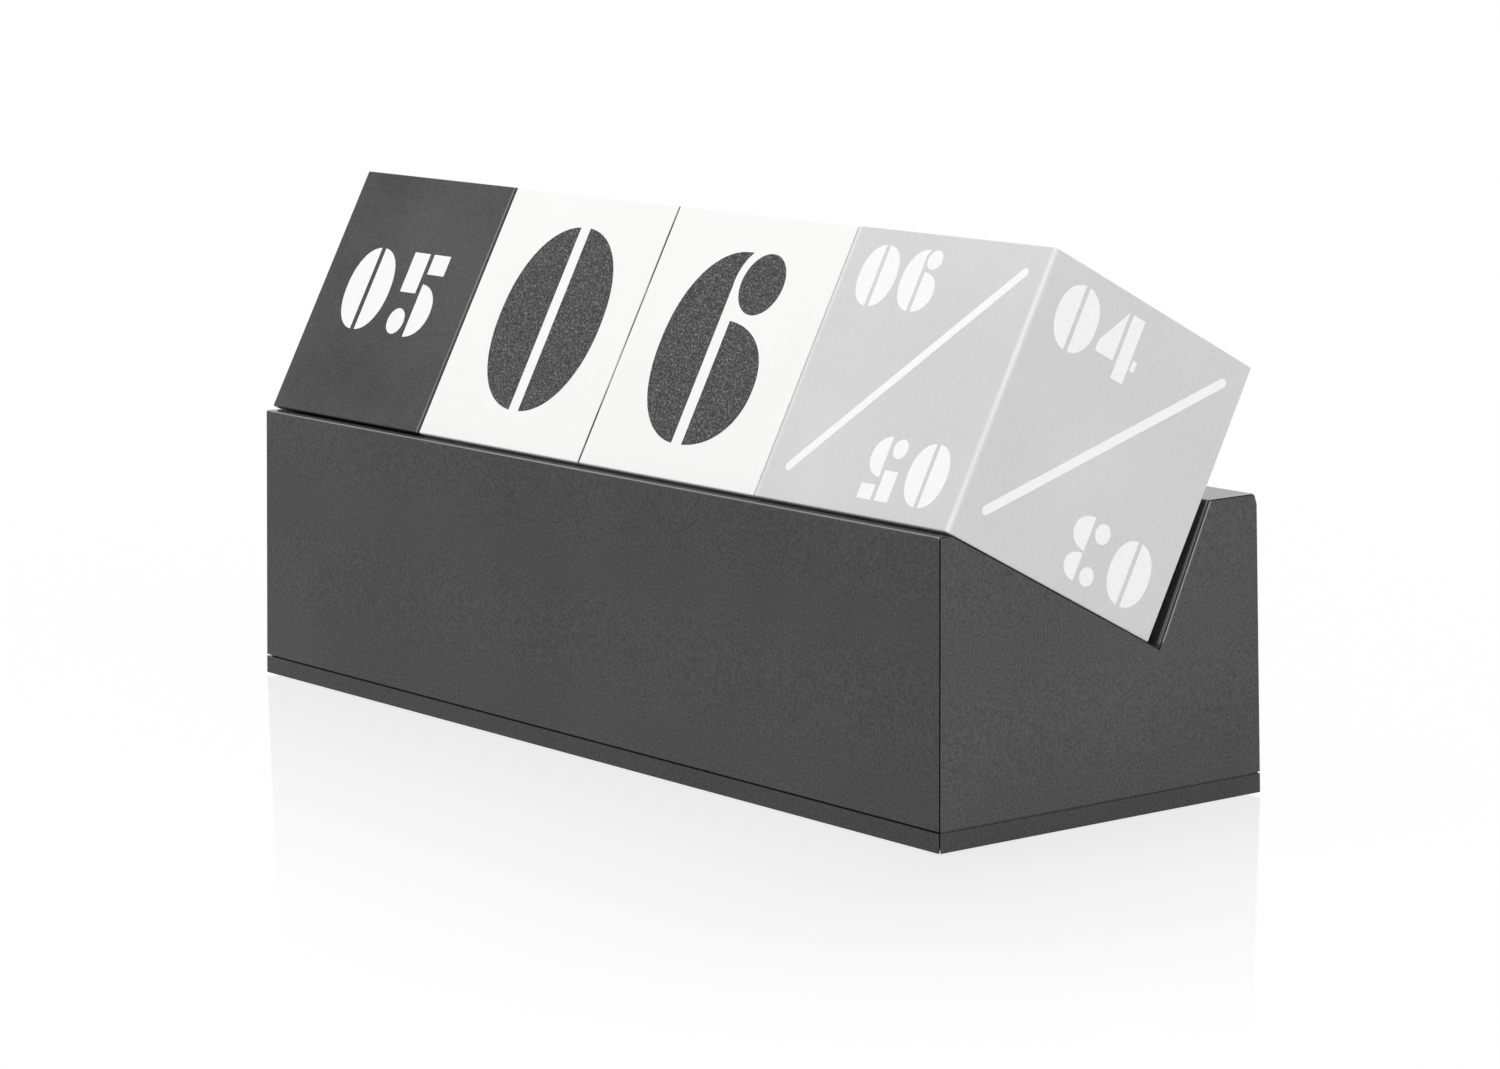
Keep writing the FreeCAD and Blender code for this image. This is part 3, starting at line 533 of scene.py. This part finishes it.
def print_on_cube(name, cube, faces, finish):
    """One thin closed sheet of ink per outline, on the faces of a cube.

    Each outline is a ring of points. It is laid on its face at two heights, sunk and proud of the plastic,
    the two rings are joined by side walls and each is filled.
    """
    corner, right, back, up = cube_frame(cube)
    sides = {
        "front": (corner, right, up),
        "end": (corner + right * CUBE_EDGE, back, up),
        "top": (corner + up * CUBE_EDGE, right, back),
        "rear": (corner + (back + up) * CUBE_EDGE, right, -up),
        "under": (corner + back * CUBE_EDGE, right, -back),
        "left": (corner + back * CUBE_EDGE, -back, up),
    }
    places, rings = [], []
    for side, outlines in faces.items():
        start, across, along = (np.array(held) for held in sides[side])
        outward = np.cross(across, along)
        for outline in outlines:
            flat = start + outline[:, :1] * MM * across + outline[:, 1:] * MM * along
            first = sum(len(group) for group in places)
            places += [flat - outward * INK_SUNK, flat + outward * INK_PROUD]
            rings.append((first, len(outline)))
    faces_made = []
    for first, count in rings:
        lower = np.arange(first, first + count)
        upper = lower + count
        walls = np.stack([lower, np.roll(lower, -1), np.roll(upper, -1), upper], axis=1)
        faces_made += [lower[::-1].tolist(), upper.tolist(), *walls.tolist()]
    mesh = bpy.data.meshes.new(name)
    mesh.from_pydata(np.vstack(places).tolist(), [], faces_made)
    mesh.materials.append(finish)
    printed = bpy.data.objects.new(name, mesh)
    bpy.context.scene.collection.objects.link(printed)
    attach(printed, cube)


def ink(name, dark, light, grain, low, high):
    """Printing ink: it fills the plastic's grain unevenly, so that specks of another tone show in it."""
    material, tree, shader = fresh_material(name)
    place = add(tree, "ShaderNodeTexCoord").outputs["Object"]
    speck = noise(tree, place, grain, detail=4.0, roughness=0.7)
    tree.links.new(tint(tree, dark, light, spread(tree, speck, 0, 1, start=low, end=high)),
                   shader.inputs["Base Color"])
    tree.links.new(spread(tree, speck, 0.65, 0.5), shader.inputs["Roughness"])
    bump = add(tree, "ShaderNodeBump", Strength=0.5, Distance=INK_SUNK, Height=speck).outputs[0]
    tree.links.new(bump, shader.inputs["Normal"])
    return material


dark_ink = ink("dark_printing_ink", (0.004, 0.004, 0.0045), (0.190, 0.190, 0.192), 3000.0, 0.495, 0.64)
white_ink = ink("white_printing_ink", (0.86, 0.86, 0.86), (0.93, 0.93, 0.93), 2000.0, 0.35, 0.65)

DATE_HEIGHT = 34.9
TENS_MIDDLE = (24.6, 24.5)
UNITS_MIDDLE = (23.7, 23.7)
PAIR_HEIGHT = 10.8
PAIR_MIDDLE = (14.4, 39.8)
SLASH_START = (5.8, 6.0)
SLASH_END = (43.1, 43.2)
SLASH_WIDTH = 1.6
DAY_HEIGHT = 16.3
DAY_MIDDLE = (23.0, 25.2)


def date_face(digit, middle):
    """One large numeral that fills a face."""
    return number_outlines(digit, middle, DATE_HEIGHT)


def day_face(digits):
    """A day's number, small in the middle of a face."""
    return number_outlines(digits, DAY_MIDDLE, DAY_HEIGHT)


def pair_face(upright, inverted):
    """Two numbers on one face, either side of a slash: the second is read with the cube upside down."""
    opposite = (CUBE_EDGE / MM - PAIR_MIDDLE[0], CUBE_EDGE / MM - PAIR_MIDDLE[1])
    return (
        number_outlines(upright, PAIR_MIDDLE, PAIR_HEIGHT)
        + number_outlines(inverted, opposite, PAIR_HEIGHT, upside_down=True)
        + [slash_outline(SLASH_START, SLASH_END, SLASH_WIDTH)]
    )


AROUND = ("front", "top", "rear", "under", "end", "left")
prints = {
    "weekday_print": ("weekday_cube", white_ink, "white_cube",
                      [day_face(d) for d in ("05", "04", "03", "02", "01")] + [pair_face("06", "07")]),
    "tens_print": ("tens_cube", dark_ink, "dark_cube", [date_face(d, TENS_MIDDLE) for d in "012345"]),
    "units_print": ("units_cube", dark_ink, "dark_cube", [date_face(d, UNITS_MIDDLE) for d in "678012"]),
    "month_print": ("month_cube", white_ink, "white_cube",
                    [pair_face(*pair) for pair in (("06", "05"), ("08", "07"), ("10", "09"), ("12", "11"),
                                                   ("04", "03"), ("02", "01"))]),
}
for name, (cube, finish, slot, outlines) in prints.items():
    print_on_cube(name, cube, dict(zip(AROUND, outlines)), finish)


# ---------------------------------------------------------------- floor and light
# A white board under the calendar in a white room, with one soft box above its front and one at its right.
# The board shows a faint mirror image and a faint shadow, which both fade out around the holder.
def soft_box(name, place, target, size, power):
    """A square area lamp that looks at a target."""
    lamp = bpy.data.lights.new(name, "AREA")
    lamp.shape = "SQUARE"
    lamp.size = size
    lamp.energy = power
    made = bpy.data.objects.new(name, lamp)
    made.location = place
    made.rotation_mode = "QUATERNION"
    made.rotation_quaternion = (Vector(target) - Vector(place)).to_track_quat("-Z", "Y")
    bpy.context.scene.collection.objects.link(made)


BOARD_HALF = 6.0
BOARD_WHITE = (0.80, 0.80, 0.80, 1)
GLOSS_REACH = 115 * MM
GLOSS = 0.17
GLOSS_FALL = 1.45
SHADE_REACH = 400 * MM
SHADE = 0.05


def floor_board():
    """A level square, so large that its edges lie outside every view."""
    mesh = bpy.data.meshes.new("floor")
    mesh.from_pydata([(-BOARD_HALF, -BOARD_HALF, 0), (BOARD_HALF, -BOARD_HALF, 0),
                      (BOARD_HALF, BOARD_HALF, 0), (-BOARD_HALF, BOARD_HALF, 0)], [], [(0, 1, 2, 3)])
    made = bpy.data.objects.new("floor", mesh)
    bpy.context.scene.collection.objects.link(made)
    made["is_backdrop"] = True
    return made


def seen_directly(tree):
    """1 for rays from the camera and for what gloss and glass show of the backdrop, otherwise 0."""
    path = add(tree, "ShaderNodeLightPath")
    either = add(tree, "ShaderNodeMath", {"operation": "MAXIMUM"}, i0=path.outputs["Is Camera Ray"],
                 i1=path.outputs["Is Glossy Ray"]).outputs[0]
    return add(tree, "ShaderNodeMath", {"operation": "MAXIMUM"}, i0=either,
               i1=path.outputs["Is Transmission Ray"]).outputs[0]


def floor_finish():
    """White board. What the camera sees of it is plain white, less a faint mirror image and a shadow.

    With d the distance from the holder's footprint, the mirror image has the weight
    GLOSS * (1 - d / GLOSS_REACH) ** GLOSS_FALL, and the shadow the weight SHADE * (1 - d / SHADE_REACH).
    """
    material, tree, shader = fresh_material("floor_white")
    tree.nodes.remove(shader)
    place = add(tree, "ShaderNodeTexCoord").outputs["Object"]
    low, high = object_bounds()
    folded = add(tree, "ShaderNodeVectorMath", {"operation": "ABSOLUTE"}, i0=place).outputs[0]
    outside = add(tree, "ShaderNodeVectorMath", {"operation": "SUBTRACT"}, i0=folded,
                  i1=(high.x, high.y, 0)).outputs[0]
    outside = add(tree, "ShaderNodeVectorMath", {"operation": "MAXIMUM"}, i0=outside, i1=(0, 0, 0)).outputs[0]
    away = add(tree, "ShaderNodeVectorMath", {"operation": "LENGTH"}, i0=outside).outputs["Value"]
    nearness = spread(tree, away, 1, 0, start=0, end=GLOSS_REACH)
    fade = add(tree, "ShaderNodeMath", {"operation": "POWER"}, i0=nearness, i1=GLOSS_FALL).outputs[0]
    gloss_weight = product(tree, fade, GLOSS)
    shade_weight = spread(tree, away, SHADE, 0, start=0, end=SHADE_REACH)
    board = add(tree, "ShaderNodeBsdfDiffuse", Color=BOARD_WHITE).outputs[0]
    gloss = add(tree, "ShaderNodeBsdfGlossy", Color=(1, 1, 1, 1), Roughness=0.05).outputs[0]
    white = add(tree, "ShaderNodeEmission", Color=(1, 1, 1, 1), Strength=1.0).outputs[0]
    shown = add(tree, "ShaderNodeMixShader", i0=shade_weight, i1=white, i2=board).outputs[0]
    shown = add(tree, "ShaderNodeMixShader", i0=gloss_weight, i1=shown, i2=gloss).outputs[0]
    total = add(tree, "ShaderNodeMixShader", i0=seen_directly(tree), i1=board, i2=shown).outputs[0]
    tree.links.new(total, tree.nodes["Material Output"].inputs["Surface"])
    return material


floor = floor_board()
floor.data.materials.append(floor_finish())

ROOM_LIGHT = 0.40
world = bpy.data.worlds.new("studio")
bpy.context.scene.world = world
world.use_nodes = True
sky = world.node_tree
background = sky.nodes["Background"]
level = spread(sky, seen_directly(sky), ROOM_LIGHT, 1.0, start=0, end=1)
background.inputs["Color"].default_value = (1, 1, 1, 1)
sky.links.new(level, background.inputs["Strength"])

CENTRE = (0, 0, 0.05)
soft_box("soft_box_above", place=(-0.1, -0.38, 1.15), target=CENTRE, size=0.7, power=10.6)
soft_box("soft_box_right", place=(0.95, 0.15, 0.30), target=CENTRE, size=0.5, power=3.16)

bpy.context.scene.view_settings.view_transform = "Standard"
